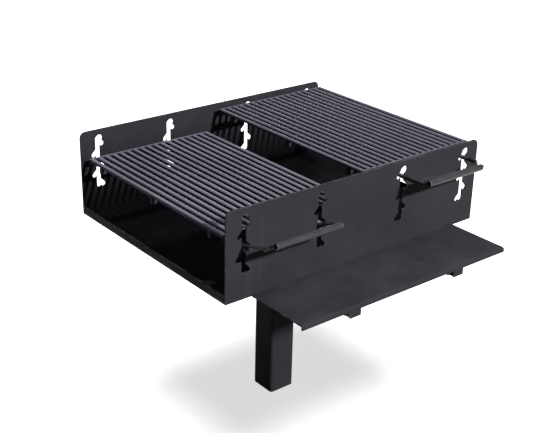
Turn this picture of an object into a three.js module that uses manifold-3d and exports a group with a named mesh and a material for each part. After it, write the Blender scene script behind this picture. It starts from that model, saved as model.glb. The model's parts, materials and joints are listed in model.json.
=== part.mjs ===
import * as THREE from "three";
import { mergeVertices } from "three/addons/utils/BufferGeometryUtils.js";
import Module from "manifold-3d";

// A pedestal grill for a park, with two grates side by side that lift each on its own.
// Millimetres, +Z up. X runs along the firebox, -Y is the front with the shelf and the handles.
// The origin is on the ground, at the centre of the post.

const wasm = await Module();
wasm.setup();

// Driving dimensions of the firebox
const boxWidth = 914;
const boxDepth = 711;
const wallHeight = 254;
const wallThickness = 4.8;
const wallCornerRadius = 18;
const floorThickness = 4.8;
const boxUndersideHeight = 584;
const endLipHeight = 20;
const endLipThickness = 4.8;

// Post and the plate that carries the firebox
const postSide = 89;
const postWall = 4.8;
const postCornerRadius = 9;
const postCapThickness = 6;
const topPlateSide = 203;
const topPlateThickness = 9.5;
const topPlateBoltInset = 26;

// Adjusting slots: the outer ones' places from the box's ends, the inner ones' from its middle
const outerSlotInset = 57;
const innerSlotX = 150;
const topLevelDrop = 45.7;
const levelPitch = 31.75;
const levelCount = 5;
const channelClearance = 0.8;
const pocketReach = 14;
const pocketRise = 14;
const entryClearance = 1;
const entryHoleDrop = 28;
const entryHoleOffset = 6;

// Grates
const grateSideMargin = 14;
const grateMiddleGap = 48;
const grateEndClearance = 24;
const barDiameter = 12.7;
const barCount = 18;
const barSink = 1.2;
const crossBarWidth = 12;
const crossBarHeight = 18;
const crossBarInset = 62;
const endStripThickness = 5;
const endStripHeight = 18;
const endStripDrop = 1.5;
const leftGrateLevel = 2;
const rightGrateLevel = 0;

// Lifting rods, their collars and the handles
const rodDiameter = 12.7;
const rodFrontReach = 8;
const rodBackReach = 5;
const collarWidth = 3.6;
const collarThickness = 4;
const collarStandOff = 3;
const leftHandleReach = 100;
const leftHandleRise = 36;
const rightHandleReach = 82;
const rightHandleRise = 0;
const handleBendRadius = 13;
const handleStraight = 24;
const gripWall = 2.8;
const gripMargin = 18;
const gripChamfer = 1.5;

// Shelf and the two arms under it
const shelfSideInset = 83;
const shelfDepth = 201;
const shelfThickness = 4.8;
const shelfLip = 14;
const shelfBendRadius = 6;
const armWidth = 38;
const armHeight = 32;
const armWall = 3.2;
const armCornerRadius = 5;
const armX = 192;
const armReachUnderFloor = 250;
const armCapThickness = 3;
const shelfStudInset = 42;
const armBoltInset = 36;

// Bolts, studs and nuts
const boltDiameter = 9.5;
const boltHeadDiameter = 22;
const boltHeadHeight = 4.6;
const boltHeadRim = 1.2;
const boltTail = 3;
const nutWidth = 15;
const nutHeight = 8;

// Gaps and cuts
const seam = 0.3;
const overrun = 2;

// Numbers of flat sides on round pieces
const barSides = 8;
const rodSides = 12;
const boltSides = 10;
const collarSides = 12;
const gripSides = 16;
const handleSteps = 40;
const domeSteps = 2;

// Numbers of steps in half an arc, because an arc takes two of them for each
const cornerSteps = 2;
const slotSteps = 3;
const entrySteps = 6;

// Places worked out from the sizes above
const wallBottom = boxUndersideHeight;
const wallTop = wallBottom + wallHeight;
const wallInner = boxDepth / 2 - wallThickness;
const floorTop = wallBottom + floorThickness;
const grateDepth = 2 * (wallInner - grateEndClearance);
const outerSlotX = boxWidth / 2 - outerSlotInset;
const grateWidth = boxWidth / 2 - grateSideMargin - grateMiddleGap / 2;
const grateX = grateMiddleGap / 2 + grateWidth / 2;
const rodRadius = rodDiameter / 2;
const collarDiameter = rodDiameter + 2 * collarWidth;
const channelWidth = rodDiameter + 2 * channelClearance;
const entryHoleDiameter = collarDiameter + 2 * entryClearance;
const gripDiameter = rodDiameter + 2 * (seam + gripWall);
const rodBackEnd = boxDepth / 2 + collarStandOff + collarThickness + rodBackReach;
const shelfWidth = boxWidth - 2 * shelfSideInset;
const shelfTop = wallBottom + shelfThickness;
const shelfBack = -boxDepth / 2 - seam;
const shelfFront = shelfBack - shelfDepth;
const armTop = wallBottom - seam;
const armFront = shelfFront + shelfThickness + seam + armCapThickness + seam;
const armBack = -boxDepth / 2 + armReachUnderFloor;
const levelHeight = (level) => wallTop - topLevelDrop - level * levelPitch;

const paint = new THREE.MeshStandardMaterial({ color: 0x3c3d41, roughness: 0.55, metalness: 0.3 });
const bareSteel = new THREE.MeshStandardMaterial({ color: 0x55555f, roughness: 0.5, metalness: 0.7 });
const gripSteel = new THREE.MeshStandardMaterial({ color: 0x6b6c70, roughness: 0.4, metalness: 0.8 });
const blackBolt = new THREE.MeshStandardMaterial({ color: 0x2c2d30, roughness: 0.5, metalness: 0.6 });

// A closed geometry as a solid for joining and cutting.
function solid(geometry) {
  const bare = geometry.index ? geometry.toNonIndexed() : geometry.clone();
  bare.deleteAttribute("normal");
  bare.deleteAttribute("uv");
  const merged = mergeVertices(bare);
  return new wasm.Manifold(
    new wasm.Mesh({
      numProp: 3,
      vertProperties: new Float32Array(merged.getAttribute("position").array),
      triVerts: new Uint32Array(merged.index.array),
    }),
  );
}

function geometryOf(body) {
  const mesh = body.getMesh();
  const geometry = new THREE.BufferGeometry();
  geometry.setAttribute("position", new THREE.BufferAttribute(mesh.vertProperties, mesh.numProp));
  geometry.setIndex(new THREE.BufferAttribute(mesh.triVerts, 1));
  geometry.computeVertexNormals();
  return geometry;
}

function joined(geometries) {
  return geometries.map(solid).reduce((whole, piece) => whole.add(piece));
}

function cut(geometry, cutters) {
  return geometryOf(cutters.map(solid).reduce((rest, cutter) => rest.subtract(cutter), solid(geometry)));
}

function block(low, high) {
  const size = new THREE.Vector3().subVectors(high, low);
  const middle = new THREE.Vector3().addVectors(low, high).multiplyScalar(0.5);
  return new THREE.BoxGeometry(size.x, size.y, size.z).translate(middle.x, middle.y, middle.z);
}

// A round bar along Y, from one place to another.
function barAlongY(diameter, sides, x, yFrom, yTo, z) {
  const length = yTo - yFrom;
  return new THREE.CylinderGeometry(diameter / 2, diameter / 2, length, sides)
    .translate(0, yFrom + length / 2, 0)
    .translate(x, 0, z);
}

// An upright round bar.
function barAlongZ(diameter, sides, x, y, zFrom, zTo) {
  const length = zTo - zFrom;
  return new THREE.CylinderGeometry(diameter / 2, diameter / 2, length, sides)
    .rotateX(Math.PI / 2)
    .translate(x, y, zFrom + length / 2);
}

// A shape drawn in X and Z, as thick as the stretch of Y.
function plateAcrossY(shape, yFrom, yTo, curveSegments) {
  return new THREE.ExtrudeGeometry(shape, { depth: yTo - yFrom, bevelEnabled: false, curveSegments })
    .rotateX(Math.PI / 2)
    .translate(0, yTo, 0);
}

function roundedRectangle(width, height, radius) {
  const x = width / 2;
  const y = height / 2;
  const shape = new THREE.Shape();
  shape.moveTo(-x + radius, -y);
  shape.lineTo(x - radius, -y);
  shape.absarc(x - radius, -y + radius, radius, -Math.PI / 2, 0);
  shape.lineTo(x, y - radius);
  shape.absarc(x - radius, y - radius, radius, 0, Math.PI / 2);
  shape.lineTo(-x + radius, y);
  shape.absarc(-x + radius, y - radius, radius, Math.PI / 2, Math.PI);
  shape.lineTo(-x, -y + radius);
  shape.absarc(-x + radius, -y + radius, radius, Math.PI, (3 * Math.PI) / 2);
  return shape;
}

// A hollow rectangular section along Z.
function boxTube(width, height, wall, radius, length) {
  const shape = roundedRectangle(width, height, radius);
  shape.holes.push(roundedRectangle(width - 2 * wall, height - 2 * wall, radius - wall));
  return new THREE.ExtrudeGeometry(shape, {
    depth: length,
    bevelEnabled: false,
    curveSegments: cornerSteps,
  });
}

const part = new THREE.Group();

function addPiece(group, name, geometry, material) {
  const mesh = new THREE.Mesh(geometry, material);
  mesh.name = name;
  group.add(mesh);
  return mesh;
}

// The stadium-shaped cut that a rod sweeps from one place to another in a wall.
function sweptCut(fromX, fromZ, toX, toZ, radius, yFrom, yTo) {
  const angle = Math.atan2(toZ - fromZ, toX - fromX);
  const shape = new THREE.Shape();
  shape.absarc(fromX, fromZ, radius, angle + Math.PI / 2, angle + (3 * Math.PI) / 2);
  shape.absarc(toX, toZ, radius, angle - Math.PI / 2, angle + Math.PI / 2);
  return plateAcrossY(shape, yFrom, yTo, slotSteps);
}

// One zigzag slot: a round entry hole, an upright channel, and a pocket at each level. The pockets
// of the right grate's slots mirror those of the left grate's.
function slotCutters(x, yFrom, yTo) {
  const radius = channelWidth / 2;
  const entryZ = wallTop - entryHoleDrop;
  const entry = new THREE.Shape();
  entry.absarc(x + entryHoleOffset, entryZ, entryHoleDiameter / 2, 0, 2 * Math.PI);
  const cutters = [
    plateAcrossY(entry, yFrom, yTo, entrySteps),
    sweptCut(x, levelHeight(levelCount - 1), x, entryZ, radius, yFrom, yTo),
  ];
  for (let level = 0; level < levelCount; level++) {
    const side = level % 2 === 0 ? -Math.sign(x) : Math.sign(x);
    const z = levelHeight(level);
    cutters.push(sweptCut(x, z + pocketRise, x + side * pocketReach, z, radius, yFrom, yTo));
  }
  return cutters;
}

function wallShape() {
  const x = boxWidth / 2;
  const radius = wallCornerRadius;
  const shape = new THREE.Shape();
  shape.moveTo(-x, wallBottom);
  shape.lineTo(x, wallBottom);
  shape.lineTo(x, wallTop - radius);
  shape.absarc(x - radius, wallTop - radius, radius, 0, Math.PI / 2);
  shape.lineTo(-x + radius, wallTop);
  shape.absarc(-x + radius, wallTop - radius, radius, Math.PI / 2, Math.PI);
  return shape;
}

function buildWall(name, yFrom, yTo) {
  const cutters = [-outerSlotX, -innerSlotX, innerSlotX, outerSlotX].flatMap((x) =>
    slotCutters(x, yFrom - overrun, yTo + overrun),
  );
  const wall = cut(plateAcrossY(wallShape(), yFrom, yTo, cornerSteps), cutters);
  addPiece(part, name, wall, paint);
}

// Places as [x, y]: of the bolts in the top plate and in each arm, and of the studs under the shelf
const plateBoltOffset = topPlateSide / 2 - topPlateBoltInset;
const plateBoltPlaces = [
  [-plateBoltOffset, -plateBoltOffset],
  [plateBoltOffset, -plateBoltOffset],
  [plateBoltOffset, plateBoltOffset],
  [-plateBoltOffset, plateBoltOffset],
];
const armBoltYs = [-boxDepth / 2 + armBoltInset, armBack - armBoltInset];
const shelfStudYs = [shelfFront + shelfStudInset, shelfBack - shelfStudInset];
const armFloorBoltPlaces = [-armX, armX].flatMap((x) => armBoltYs.map((y) => [x, y]));
const shelfStudPlaces = [-armX, armX].flatMap((x) => shelfStudYs.map((y) => [x, y]));

function boltHoles(places, zFrom, zTo) {
  const diameter = boltDiameter + 2 * seam;
  return places.map(([x, y]) =>
    barAlongZ(diameter, boltSides, x, y, zFrom - overrun, zTo + overrun),
  );
}

function buildFirebox() {
  buildWall("front_wall", -boxDepth / 2, -wallInner);
  buildWall("back_wall", wallInner, boxDepth / 2);
  const x = boxWidth / 2;
  const y = wallInner - seam;
  const floor = block(new THREE.Vector3(-x, -y, wallBottom), new THREE.Vector3(x, y, floorTop));
  const holes = boltHoles([...plateBoltPlaces, ...armFloorBoltPlaces], wallBottom, floorTop);
  addPiece(part, "floor_plate", cut(floor, holes), paint);
  const lipLow = floorTop + seam;
  const lipHigh = floorTop + endLipHeight;
  const inner = x - endLipThickness;
  addPiece(
    part,
    "left_end_lip",
    block(new THREE.Vector3(-x, -y, lipLow), new THREE.Vector3(-inner, y, lipHigh)),
    paint,
  );
  addPiece(
    part,
    "right_end_lip",
    block(new THREE.Vector3(inner, -y, lipLow), new THREE.Vector3(x, y, lipHigh)),
    paint,
  );
}

function buildPost() {
  const plateTop = wallBottom - seam;
  const plateBottom = plateTop - topPlateThickness;
  const postTop = plateBottom - seam;
  addPiece(part, "post_tube", boxTube(postSide, postSide, postWall, postCornerRadius, postTop), paint);
  const capSide = postSide - 2 * postWall - 2 * seam;
  const capShape = roundedRectangle(capSide, capSide, postCornerRadius - postWall);
  const cap = new THREE.ExtrudeGeometry(capShape, {
    depth: postCapThickness,
    bevelEnabled: false,
    curveSegments: cornerSteps,
  });
  addPiece(part, "post_base_cap", cap, paint);
  const half = topPlateSide / 2;
  const plate = block(
    new THREE.Vector3(-half, -half, plateBottom),
    new THREE.Vector3(half, half, plateTop),
  );
  addPiece(part, "post_top_plate", cut(plate, boltHoles(plateBoltPlaces, plateBottom, plateTop)), paint);
}

// The shelf's profile in Y and Z, with its front edge turned down, drawn out along X.
function buildShelf() {
  const bottom = shelfTop - shelfThickness;
  const radius = shelfBendRadius;
  const shape = new THREE.Shape();
  shape.moveTo(shelfBack, bottom);
  shape.lineTo(shelfBack, shelfTop);
  shape.lineTo(shelfFront + radius, shelfTop);
  shape.absarc(shelfFront + radius, shelfTop - radius, radius, Math.PI / 2, Math.PI);
  shape.lineTo(shelfFront, shelfTop - shelfLip);
  shape.lineTo(shelfFront + shelfThickness, shelfTop - shelfLip);
  shape.lineTo(shelfFront + shelfThickness, bottom);
  const plate = new THREE.ExtrudeGeometry(shape, {
    depth: shelfWidth,
    bevelEnabled: false,
    curveSegments: cornerSteps,
  })
    .rotateX(Math.PI / 2)
    .rotateZ(Math.PI / 2)
    .translate(-shelfWidth / 2, 0, 0);
  addPiece(part, "shelf_plate", plate, paint);
}

function buildArm(name, x) {
  const bottom = armTop - armHeight;
  const places = [...armFloorBoltPlaces, ...shelfStudPlaces].filter(([boltX]) => boltX === x);
  const tube = boxTube(armWidth, armHeight, armWall, armCornerRadius, armBack - armFront)
    .rotateX(-Math.PI / 2)
    .translate(x, armFront, armTop - armHeight / 2);
  addPiece(part, name + "_shelf_arm", cut(tube, boltHoles(places, bottom, armTop)), paint);
  const capFront = armFront - seam - armCapThickness;
  const cap = block(
    new THREE.Vector3(x - armWidth / 2, capFront, bottom),
    new THREE.Vector3(x + armWidth / 2, capFront + armCapThickness, armTop),
  );
  addPiece(part, name + "_shelf_arm_cap", cap, paint);
}

// A bolt with a low domed head, its seat at seatZ, and the nut on its lower end.
function buildBolt(name, [x, y], seatZ, gripLength) {
  const shankRadius = boltDiameter / 2;
  const headRadius = boltHeadDiameter / 2;
  const bottom = -gripLength - seam - nutHeight - boltTail;
  const outline = [
    new THREE.Vector2(0, bottom),
    new THREE.Vector2(shankRadius, bottom),
    new THREE.Vector2(shankRadius, 0),
    new THREE.Vector2(headRadius, 0),
  ];
  for (let step = 0; step < domeSteps; step++) {
    const angle = (step / domeSteps) * (Math.PI / 2);
    const rise = (boltHeadHeight - boltHeadRim) * Math.sin(angle);
    outline.push(new THREE.Vector2(headRadius * Math.cos(angle), boltHeadRim + rise));
  }
  outline.push(new THREE.Vector2(0, boltHeadHeight));
  const bolt = new THREE.LatheGeometry(outline, boltSides).rotateX(Math.PI / 2);
  addPiece(part, name + "_bolt", bolt, blackBolt).position.set(x, y, seatZ + seam);
  buildNut(name, [x, y], seatZ - gripLength - seam - nutHeight);
}

// A hexagonal nut with its lower face at z.
function buildNut(name, [x, y], z) {
  const cornerRadius = nutWidth / 2 / Math.cos(Math.PI / 6);
  const corners = [];
  for (let side = 0; side < 6; side++) {
    const angle = (side * Math.PI) / 3;
    corners.push(new THREE.Vector2(Math.cos(angle), Math.sin(angle)).multiplyScalar(cornerRadius));
  }
  const hexagon = new THREE.Shape(corners);
  const bore = new THREE.Path();
  bore.absarc(0, 0, boltDiameter / 2 + seam, 0, 2 * Math.PI);
  hexagon.holes.push(bore);
  const nut = new THREE.ExtrudeGeometry(hexagon, {
    depth: nutHeight,
    bevelEnabled: false,
    curveSegments: boltSides / 2,
  });
  addPiece(part, name + "_nut", nut, blackBolt).position.set(x, y, z);
}

// A stud welded under the shelf, down through an arm, and the nut on its lower end.
function buildStud(name, [x, y]) {
  const nutZ = armTop - armHeight - seam - nutHeight;
  const stud = barAlongZ(boltDiameter, boltSides, x, y, nutZ - boltTail, armTop);
  addPiece(part, name + "_stud", stud, blackBolt);
  buildNut(name, [x, y], nutZ);
}

function buildFasteners() {
  const plateGrip = floorThickness + seam + topPlateThickness;
  const cornerNames = ["front_left", "front_right", "back_right", "back_left"];
  plateBoltPlaces.forEach((place, i) => {
    buildBolt("post_plate_" + cornerNames[i], place, floorTop, plateGrip);
  });
  const armNames = ["left_arm_front", "left_arm_back", "right_arm_front", "right_arm_back"];
  armFloorBoltPlaces.forEach((place, i) => {
    buildBolt(armNames[i], place, floorTop, floorThickness + seam + armHeight);
  });
  const shelfNames = ["shelf_left_front", "shelf_left_back", "shelf_right_front", "shelf_right_back"];
  shelfStudPlaces.forEach((place, i) => {
    buildStud(shelfNames[i], place);
  });
}

// A line through points with its corners rounded off.
function roundedPath(points, radius) {
  const path = new THREE.CurvePath();
  let start = points[0];
  for (let i = 1; i < points.length - 1; i++) {
    const before = new THREE.Vector3().subVectors(points[i - 1], points[i]).normalize();
    const after = new THREE.Vector3().subVectors(points[i + 1], points[i]).normalize();
    const enter = points[i].clone().addScaledVector(before, radius);
    const leave = points[i].clone().addScaledVector(after, radius);
    path.add(new THREE.LineCurve3(start, enter));
    path.add(new THREE.QuadraticBezierCurve3(enter, points[i], leave));
    start = leave;
  }
  path.add(new THREE.LineCurve3(start, points[points.length - 1]));
  return path;
}

// The welded grate, in its group's frame: the rods' centres are at height zero.
function grateGeometry() {
  const crossBottom = rodRadius + seam;
  const crossTop = crossBottom + crossBarHeight;
  const barZ = crossTop - barSink + barDiameter / 2;
  const surface = barZ + barDiameter / 2;
  const halfDepth = grateDepth / 2;
  const halfWidth = grateWidth / 2;
  const pieces = [];
  const crossY = halfDepth - crossBarInset;
  for (const y of [-crossY, 0, crossY]) {
    pieces.push(
      block(
        new THREE.Vector3(-halfWidth, y - crossBarWidth / 2, crossBottom),
        new THREE.Vector3(halfWidth, y + crossBarWidth / 2, crossTop),
      ),
    );
  }
  const stripTop = surface - endStripDrop;
  for (const side of [-1, 1]) {
    const outer = side * halfDepth;
    const inner = side * (halfDepth - endStripThickness);
    pieces.push(
      block(
        new THREE.Vector3(-halfWidth, Math.min(outer, inner), stripTop - endStripHeight),
        new THREE.Vector3(halfWidth, Math.max(outer, inner), stripTop),
      ),
    );
  }
  const barEnd = halfDepth - endStripThickness / 2;
  const pitch = (grateWidth - barDiameter) / (barCount - 1);
  for (let i = 0; i < barCount; i++) {
    const x = -halfWidth + barDiameter / 2 + i * pitch;
    pieces.push(barAlongY(barDiameter, barSides, x, -barEnd, barEnd, barZ));
  }
  return geometryOf(joined(pieces));
}

function buildHandle(group, name, fromX, toX, reach, rise) {
  const start = -boxDepth / 2 - rodFrontReach - seam;
  const out = -boxDepth / 2 - reach;
  const straightEnd = start - handleStraight;
  const path = roundedPath(
    [
      new THREE.Vector3(fromX, start, 0),
      new THREE.Vector3(fromX, straightEnd, 0),
      new THREE.Vector3(fromX, out, rise),
      new THREE.Vector3(toX, out, rise),
      new THREE.Vector3(toX, straightEnd, 0),
      new THREE.Vector3(toX, start, 0),
    ],
    handleBendRadius,
  );
  const section = new THREE.Shape();
  section.absarc(0, 0, rodRadius, 0, 2 * Math.PI);
  const bar = new THREE.ExtrudeGeometry(section, {
    steps: handleSteps,
    curveSegments: rodSides / 2,
    bevelEnabled: false,
    extrudePath: path,
  });
  addPiece(group, name + "_handle", bar, bareSteel);
  const bore = rodRadius + seam;
  const outer = gripDiameter / 2;
  const length = Math.abs(toX - fromX) - 2 * gripMargin;
  const outline = [
    new THREE.Vector2(bore, 0),
    new THREE.Vector2(outer - gripChamfer, 0),
    new THREE.Vector2(outer, gripChamfer),
    new THREE.Vector2(outer, length - gripChamfer),
    new THREE.Vector2(outer - gripChamfer, length),
    new THREE.Vector2(bore, length),
    new THREE.Vector2(bore, 0),
  ];
  const grip = new THREE.LatheGeometry(outline, gripSides)
    .rotateZ(-Math.PI / 2)
    .translate(Math.min(fromX, toX) + gripMargin, out, rise);
  addPiece(group, name + "_grip", grip, gripSteel);
}

function collarGeometry() {
  const bore = rodRadius + seam;
  const outline = [
    new THREE.Vector2(bore, 0),
    new THREE.Vector2(collarDiameter / 2, 0),
    new THREE.Vector2(collarDiameter / 2, collarThickness),
    new THREE.Vector2(bore, collarThickness),
    new THREE.Vector2(bore, 0),
  ];
  return new THREE.LatheGeometry(outline, collarSides);
}

// One grate with its rods, collars, handle and grip, in a group that lifts as one.
function buildGrate(name, side, level, handleReach, handleRise) {
  const group = new THREE.Group();
  group.position.set(side * grateX, 0, levelHeight(level));
  addPiece(group, name + "_grate", grateGeometry(), bareSteel);
  const rodFront = -boxDepth / 2 - rodFrontReach;
  const rodPlaces = { outer: side * (outerSlotX - grateX), inner: side * (innerSlotX - grateX) };
  for (const [place, x] of Object.entries(rodPlaces)) {
    const rod = barAlongY(rodDiameter, rodSides, x, rodFront, rodBackEnd, 0);
    addPiece(group, name + "_" + place + "_lift_rod", rod, bareSteel);
    const collar = addPiece(group, name + "_" + place + "_rod_collar", collarGeometry(), bareSteel);
    collar.position.set(x, boxDepth / 2 + collarStandOff, 0);
  }
  const xs = Object.values(rodPlaces).sort((a, b) => a - b);
  buildHandle(group, name, xs[0], xs[1], handleReach, handleRise);
  part.add(group);
}

buildPost();
buildFirebox();
buildShelf();
buildArm("left", -armX);
buildArm("right", armX);
buildFasteners();
buildGrate("left", -1, leftGrateLevel, leftHandleReach, leftHandleRise);
buildGrate("right", 1, rightGrateLevel, rightHandleReach, rightHandleRise);

export default part;
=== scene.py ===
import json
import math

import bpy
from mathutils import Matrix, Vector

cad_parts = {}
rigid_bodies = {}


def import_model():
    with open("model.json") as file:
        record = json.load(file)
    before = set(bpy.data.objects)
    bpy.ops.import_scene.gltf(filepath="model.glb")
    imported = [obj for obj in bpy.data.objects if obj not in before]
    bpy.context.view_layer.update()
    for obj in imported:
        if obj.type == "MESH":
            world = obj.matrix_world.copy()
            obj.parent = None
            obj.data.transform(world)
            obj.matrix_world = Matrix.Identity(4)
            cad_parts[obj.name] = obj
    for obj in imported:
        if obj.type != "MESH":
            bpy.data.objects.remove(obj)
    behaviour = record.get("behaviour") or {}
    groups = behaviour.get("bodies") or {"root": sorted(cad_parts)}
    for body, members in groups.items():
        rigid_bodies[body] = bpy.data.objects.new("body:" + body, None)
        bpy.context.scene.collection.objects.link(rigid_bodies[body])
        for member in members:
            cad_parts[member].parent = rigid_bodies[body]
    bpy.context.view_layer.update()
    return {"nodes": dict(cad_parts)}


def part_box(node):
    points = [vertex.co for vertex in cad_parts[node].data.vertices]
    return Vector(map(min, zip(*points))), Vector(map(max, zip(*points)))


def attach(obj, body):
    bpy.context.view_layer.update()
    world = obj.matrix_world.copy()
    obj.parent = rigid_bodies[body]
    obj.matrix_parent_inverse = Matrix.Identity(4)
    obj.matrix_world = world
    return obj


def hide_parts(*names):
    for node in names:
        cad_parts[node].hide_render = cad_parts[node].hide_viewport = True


bl_info = {
    "name": "Park grill",
    "version": (1, 0, 0),
    "blender": (4, 5, 0),
    "location": "View3D > Sidebar > Grill",
    "description": "Finishes and fine pieces of a park grill, built around its packed frame",
    "category": "Object",
}

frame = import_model()
SIDES = ("left", "right")
X_AXIS = Vector((1, 0, 0))
Y_AXIS = Vector((0, 1, 0))
Z_AXIS = Vector((0, 0, 1))

# The photograph's frame in pixels, and the camera worked out from its straight edges
FRAME_WIDTH = 537
FOCAL_PIXELS = 1061
SENSOR_WIDTH = 36
CAMERA_AZIMUTH = -39.17
CAMERA_ELEVATION = 23.9
CAMERA_ROLL = 1.27
CAMERA_TARGET = Vector((-0.034, 0, 0.591))
CAMERA_DISTANCE = 3.154

# Where each lamp's light comes from, how far off the lamp is and how wide it is
STAGE_CENTRE = Vector((0, 0, 0.65))
KEY_LAMP = (Vector((0.15, -1, 0.64)), 7.0, 0.4)
TOP_LAMP = (Vector((0.1, 0.1, 1)), 5.0, 2.0)
BACK_LAMP = (Vector((0.7, 1, 0.12)), 5.0, 2.0)
FLOOR_SUN = Vector((-0.045, -0.05, 1))
FLOOR_SIZE = 60
FLOOR_BOUNCE = (0.08, 0.08, 0.08, 1.0)

# Fine sizes in metres, and counts
MERGE_DISTANCE = 0.00001
BORE_GAP = 0.0003
NUT_EASE = 0.0005
BOLT_EASE = 0.0003
ROD_EASE = 0.001
COLLAR_EASE = 0.0006
GRIP_EASE = 0.002
BOLT_RIM = 0.0012
BOLT_HEAD = 0.0046
BOLT_SHANK_RADIUS = 0.00475
BOLT_SIDES = 24
DOME_RINGS = 5
DOME_TOP_SHARE = 0.08
ROD_SIDES = 20
COLLAR_SIDES = 24
GRIP_SIDES = 28
FLOOR_STITCHES = 5
SEAM_STITCHES = 4
COLLAR_RIPPLES = 16
HANDLE_RIPPLES = 18

# Shares of the weld radius that the smaller and larger beads have
POST_WELD_SHARE = 1.2
SHELF_WELD_SHARE = 0.8
SPOT_WELD_SHARE = 0.75
COLLAR_WELD_SHARE = 0.55
HANDLE_WELD_SHARE = 0.6

# Angles in degrees: shading is smooth up to the first two, sharper edges are eased, flat faces merge
PLATE_SMOOTH = 40
WELD_SMOOTH = 60
EASED_FROM = 50
FLAT_WITHIN = 1


# ---- Values that a user would change


class GrillSizes(bpy.types.PropertyGroup):
    """Sizes of the fine pieces, in the frame's metres."""

    edge_ease: bpy.props.FloatProperty(
        name="Edge ease", description="Rounding of cut plate edges", default=0.0008, unit="LENGTH"
    )
    bar_diameter: bpy.props.FloatProperty(
        name="Grate bar", description="Diameter of a grate's bars", default=0.0127, unit="LENGTH"
    )
    bar_count: bpy.props.IntProperty(
        name="Grate bars", description="Bars across one grate", default=18, min=2
    )
    cross_width: bpy.props.FloatProperty(
        name="Cross bar width", description="Width of a bar under the grate",
        default=0.012, unit="LENGTH",
    )
    cross_height: bpy.props.FloatProperty(
        name="Cross bar height", description="Height of a bar under the grate",
        default=0.018, unit="LENGTH",
    )
    cross_inset: bpy.props.FloatProperty(
        name="Cross bar inset", description="From a grate's end to its cross bar",
        default=0.062, unit="LENGTH",
    )
    strip_thickness: bpy.props.FloatProperty(
        name="End strip thickness", description="Thickness of a grate's end strips",
        default=0.005, unit="LENGTH",
    )
    strip_height: bpy.props.FloatProperty(
        name="End strip height", description="Height of a grate's end strips",
        default=0.018, unit="LENGTH",
    )
    strip_drop: bpy.props.FloatProperty(
        name="End strip drop", description="End strips' top below the bars' top",
        default=0.0015, unit="LENGTH",
    )
    bar_sides: bpy.props.IntProperty(
        name="Bar sides", description="Flat sides around a round bar", default=16, min=8
    )
    handle_straight: bpy.props.FloatProperty(
        name="Handle straight", description="Straight start of a handle's legs",
        default=0.024, unit="LENGTH",
    )
    handle_bend: bpy.props.FloatProperty(
        name="Handle bend", description="Length that each bend takes of a leg",
        default=0.013, unit="LENGTH",
    )
    bend_steps: bpy.props.IntProperty(
        name="Bend steps", description="Steps in each bend of a handle", default=8, min=2
    )
    weld_radius: bpy.props.FloatProperty(
        name="Weld radius", description="Half width of a weld bead", default=0.0034, unit="LENGTH"
    )
    weld_pitch: bpy.props.FloatProperty(
        name="Weld pitch", description="Step between a bead's ripples",
        default=0.0026, unit="LENGTH",
    )
    weld_run: bpy.props.FloatProperty(
        name="Weld length", description="Length of one stitch weld", default=0.05, unit="LENGTH"
    )


class GrillFinishes(bpy.types.PropertyGroup):
    """Colours of the finishes."""

    paint: bpy.props.FloatVectorProperty(
        name="Paint", description="Satin black heat-resistant paint",
        default=(0.037, 0.036, 0.042), subtype="COLOR",
    )
    paint_light: bpy.props.FloatVectorProperty(
        name="Paint, light", description="Lighter clouds in the paint",
        default=(0.049, 0.0475, 0.056), subtype="COLOR",
    )
    # Tint of dust and painted top light on faces that look up, and of rain streaks
    dust_and_top_light: bpy.props.FloatVectorProperty(
        name="Dust", description="Dust on faces that look up",
        default=(0.085, 0.081, 0.105), subtype="COLOR",
    )
    rubbed: bpy.props.FloatVectorProperty(
        name="Rubbed edge", description="Steel under rubbed paint",
        default=(0.2, 0.195, 0.19), subtype="COLOR",
    )
    grate_dark: bpy.props.FloatVectorProperty(
        name="Grate, dark", description="Heat-darkened steel",
        default=(0.172, 0.157, 0.208), subtype="COLOR",
    )
    # Also the tint of the bars' lighter tops: rubbing and painted top light
    grate_light: bpy.props.FloatVectorProperty(
        name="Grate, light", description="Rubbed tops of the bars",
        default=(0.245, 0.225, 0.285), subtype="COLOR",
    )
    # A paler colour laid over the left grate
    left_grate_pale: bpy.props.FloatVectorProperty(
        name="Ash", description="Pale ash burnt onto the left grate",
        default=(0.355, 0.325, 0.425), subtype="COLOR",
    )
    handle: bpy.props.FloatVectorProperty(
        name="Handle", description="Blackened handle rod",
        default=(0.016, 0.016, 0.018), subtype="COLOR",
    )
    grip: bpy.props.FloatVectorProperty(
        name="Grip", description="Grip sleeve", default=(0.036, 0.036, 0.039), subtype="COLOR"
    )
    # Darkens the inside of the firebox and the grates' side and lower faces: soot and painted shade
    soot_and_shade: bpy.props.FloatVectorProperty(
        name="Soot and shade", description="Soot inside the firebox",
        default=(0.006, 0.006, 0.008), subtype="COLOR",
    )
    bolt: bpy.props.FloatVectorProperty(
        name="Bolt", description="Blackened bolts and nuts",
        default=(0.03, 0.03, 0.032), subtype="COLOR",
    )


class GrillStage(bpy.types.PropertyGroup):
    """The studio around the grill."""

    key_level: bpy.props.FloatProperty(
        name="Key level", description="Light of the key lamp on a face turned to it", default=1.02
    )
    top_level: bpy.props.FloatProperty(
        name="Top level", description="Light of the lamp above", default=0.2
    )
    back_level: bpy.props.FloatProperty(
        name="Back level", description="Light of the low lamp behind, at the right", default=0.5
    )
    floor_level: bpy.props.FloatProperty(
        name="Floor level", description="Light that falls on the floor alone", default=1.7
    )
    floor_spread: bpy.props.FloatProperty(
        name="Floor spread", description="Width of the floor's light",
        default=math.radians(42), unit="ROTATION",
    )
    fill_level: bpy.props.FloatProperty(
        name="Fill level", description="Even light from all around", default=0.03
    )
    floor_glow: bpy.props.FloatProperty(
        name="Floor glow", description="White of the floor in its own shadow", default=0.685
    )
    floor_colour: bpy.props.FloatVectorProperty(
        name="Floor", description="Colour of the floor", default=(0.8, 0.8, 0.8), subtype="COLOR"
    )


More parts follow.
